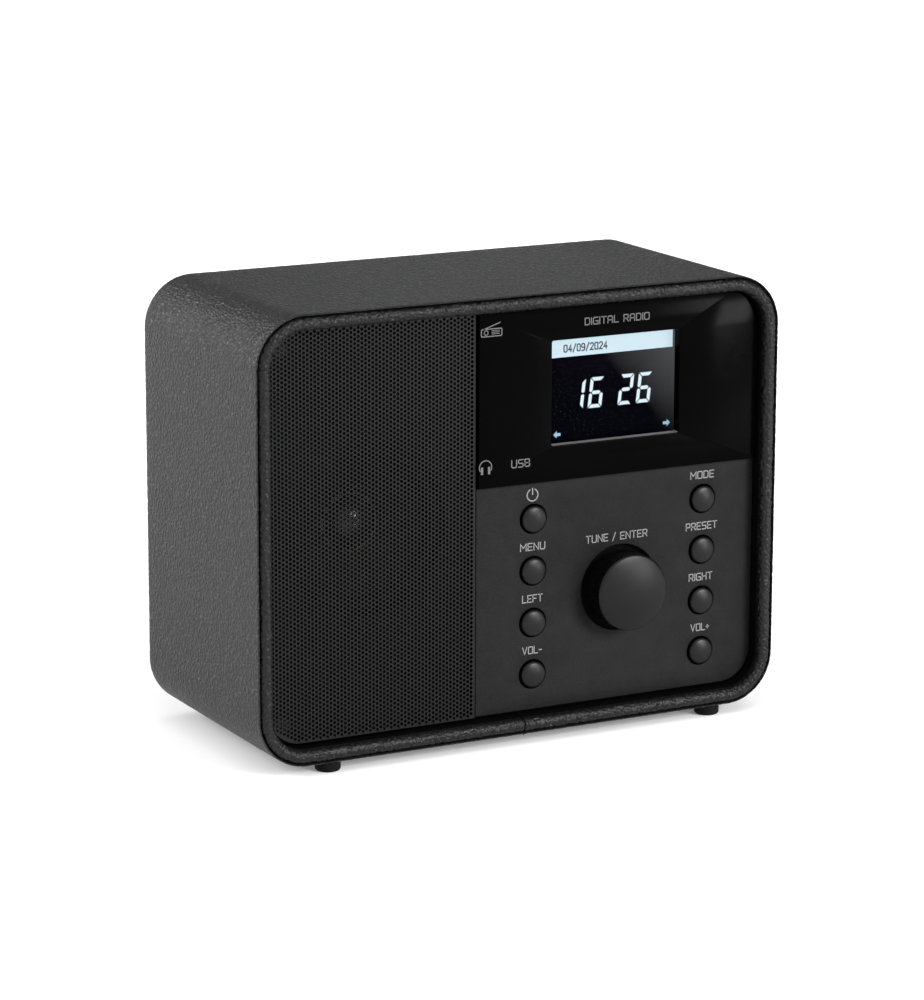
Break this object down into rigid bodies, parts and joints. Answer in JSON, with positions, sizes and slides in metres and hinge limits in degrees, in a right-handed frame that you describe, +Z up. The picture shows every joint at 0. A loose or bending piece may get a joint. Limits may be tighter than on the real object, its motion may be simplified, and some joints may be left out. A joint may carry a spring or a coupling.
{
  "type": "tabletop digital radio",
  "caption": "Leather-covered tabletop radio: perforated grille, recessed colour display, push buttons, tune knob, inner speaker and boards, folded telescopic aerial.",
  "frame": {"origin": "centre of the overall box, on the surface the feet stand on", "axes": "+X right seen from the front, +Y towards the back, +Z up"},
  "size_m": [0.2, 0.105, 0.157],
  "materials": {
    "leather": "black grained leatherette, satin",
    "mdf": "raw fibreboard",
    "pine": "raw pine",
    "black_plastic": "moulded matte",
    "grille_metal": "perforated sheet, satin black paint",
    "gloss_black": "piano black",
    "clear_lens": "clear acrylic window",
    "screen_glass": "colour display",
    "white_plastic": "white moulded backlight tray",
    "matte_black": "fine matte texture",
    "button_black": "satin black",
    "knob_black": "satin face with a glossy side",
    "bright_steel": "nickel plated",
    "natural_plastic": "natural nylon",
    "zinc_metal": "die-cast zinc",
    "green_board": "solder-masked board",
    "amber_film": "polyimide film",
    "grey_cable": "flat ribbon",
    "tin_can": "tinned can",
    "capacitor_sleeve": "shrink sleeve",
    "zinc_steel": "zinc plated",
    "black_foam": "closed-cell foam",
    "basket_steel": "black pressed steel",
    "black_rubber": "matte rubber",
    "cone_paper": "treated paper",
    "copper_former": "copper winding on a former",
    "spider_cloth": "resin-dipped cloth",
    "ferrite": "sintered ferrite",
    "red_wire": "insulated wire",
    "rear_plastic": "textured matte",
    "black_steel": "black oxide",
    "chrome_tube": "polished",
    "aerial_plastic": "satin black"
  },
  "bodies": {
    "radio": {"leather_cover": "leather", "cabinet_shell": "mdf", "fixing_blocks": "pine", "front_chassis": "black_plastic", "speaker_grille": "grille_metal", "display_panel": "gloss_black", "display_lens": "clear_lens", "lcd_panel": "screen_glass", "lcd_holder": "white_plastic", "control_panel": "matte_black", "encoder_body": "zinc_metal", "encoder_nut": "bright_steel", "control_board": "green_board", "tact_switches": "black_plastic", "display_ribbon": "amber_film", "control_ribbon": "grey_cable", "main_board": "green_board", "tuner_module": "tin_can", "board_capacitors": "capacitor_sleeve", "amplifier_chip": "black_plastic", "board_posts": "natural_plastic", "dc_inlet": "black_plastic", "usb_port": "bright_steel", "headphone_jack": "black_plastic", "board_screws": "zinc_steel", "speaker_gasket": "black_foam", "speaker_basket": "basket_steel", "speaker_surround": "black_rubber", "speaker_spider": "spider_cloth", "top_plate": "zinc_steel", "speaker_magnet": "ferrite", "pole_plate": "zinc_steel", "speaker_screws": "zinc_steel", "speaker_wires": "red_wire", "chassis_screws": "zinc_steel", "rear_panel": "rear_plastic", "rear_screws": "black_steel", "rubber_feet": "black_rubber", "foot_screws": "zinc_steel", "aerial_base": "chrome_tube"},
    "button_power": {"button_power": "button_black"},
    "button_menu": {"button_menu": "button_black"},
    "button_left": {"button_left": "button_black"},
    "button_vol_down": {"button_vol_down": "button_black"},
    "button_mode": {"button_mode": "button_black"},
    "button_preset": {"button_preset": "button_black"},
    "button_right": {"button_right": "button_black"},
    "button_vol_up": {"button_vol_up": "button_black"},
    "rotor": {"encoder_rotor": "natural_plastic"},
    "knob": {"tune_knob": "knob_black", "encoder_shaft": "bright_steel"},
    "cone": {"speaker_cone": "cone_paper", "dust_cap": "cone_paper", "voice_coil": "copper_former"},
    "turret": {"aerial_swivel": "aerial_plastic"},
    "rod_1": {"aerial_section_1": "chrome_tube"},
    "rod_2": {"aerial_section_2": "chrome_tube"},
    "rod_3": {"aerial_section_3": "chrome_tube"},
    "rod_4": {"aerial_section_4": "chrome_tube"},
    "rod_5": {"aerial_section_5": "chrome_tube"}
  },
  "joints": [
    {"name": "button_power_press", "type": "slide", "parent": "radio", "child": "button_power", "axis": [0, 1, 0], "range_m": [0, 0.0006], "stiffness_N_per_m": 2500},
    {"name": "button_menu_press", "type": "slide", "parent": "radio", "child": "button_menu", "axis": [0, 1, 0], "range_m": [0, 0.0006], "stiffness_N_per_m": 2500},
    {"name": "button_left_press", "type": "slide", "parent": "radio", "child": "button_left", "axis": [0, 1, 0], "range_m": [0, 0.0006], "stiffness_N_per_m": 2500},
    {"name": "button_vol_down_press", "type": "slide", "parent": "radio", "child": "button_vol_down", "axis": [0, 1, 0], "range_m": [0, 0.0006], "stiffness_N_per_m": 2500},
    {"name": "button_mode_press", "type": "slide", "parent": "radio", "child": "button_mode", "axis": [0, 1, 0], "range_m": [0, 0.0006], "stiffness_N_per_m": 2500},
    {"name": "button_preset_press", "type": "slide", "parent": "radio", "child": "button_preset", "axis": [0, 1, 0], "range_m": [0, 0.0006], "stiffness_N_per_m": 2500},
    {"name": "button_right_press", "type": "slide", "parent": "radio", "child": "button_right", "axis": [0, 1, 0], "range_m": [0, 0.0006], "stiffness_N_per_m": 2500},
    {"name": "button_vol_up_press", "type": "slide", "parent": "radio", "child": "button_vol_up", "axis": [0, 1, 0], "range_m": [0, 0.0006], "stiffness_N_per_m": 2500},
    {"name": "knob_turn", "type": "hinge", "parent": "radio", "child": "rotor", "pos_m": [0.0405, -0.03195, 0.0503], "axis": [0, 1, 0], "continuous": true},
    {"name": "knob_push", "type": "slide", "parent": "rotor", "child": "knob", "axis": [0, 1, 0], "range_m": [0, 0.0005], "stiffness_N_per_m": 3000},
    {"name": "cone_travel", "type": "slide", "parent": "radio", "child": "cone", "axis": [0, -1, 0], "range_m": [-0.0012, 0.0012], "stiffness_N_per_m": 2000},
    {"name": "aerial_swivel_turn", "type": "hinge", "parent": "radio", "child": "turret", "pos_m": [0.077, 0.04855, 0.133], "axis": [0, 1, 0], "range_deg": [0, 180]},
    {"name": "aerial_tilt", "type": "hinge", "parent": "turret", "child": "rod_1", "pos_m": [0.077, 0.04855, 0.133], "axis": [0, 0, -1], "range_deg": [0, 90]},
    {"name": "aerial_slide_1", "type": "slide", "parent": "rod_1", "child": "rod_2", "axis": [-1, 0, 0], "range_m": [0, 0.112]},
    {"name": "aerial_slide_2", "type": "slide", "parent": "rod_2", "child": "rod_3", "axis": [-1, 0, 0], "range_m": [0, 0.112]},
    {"name": "aerial_slide_3", "type": "slide", "parent": "rod_3", "child": "rod_4", "axis": [-1, 0, 0], "range_m": [0, 0.112]},
    {"name": "aerial_slide_4", "type": "slide", "parent": "rod_4", "child": "rod_5", "axis": [-1, 0, 0], "range_m": [0, 0.112]}
  ]
}
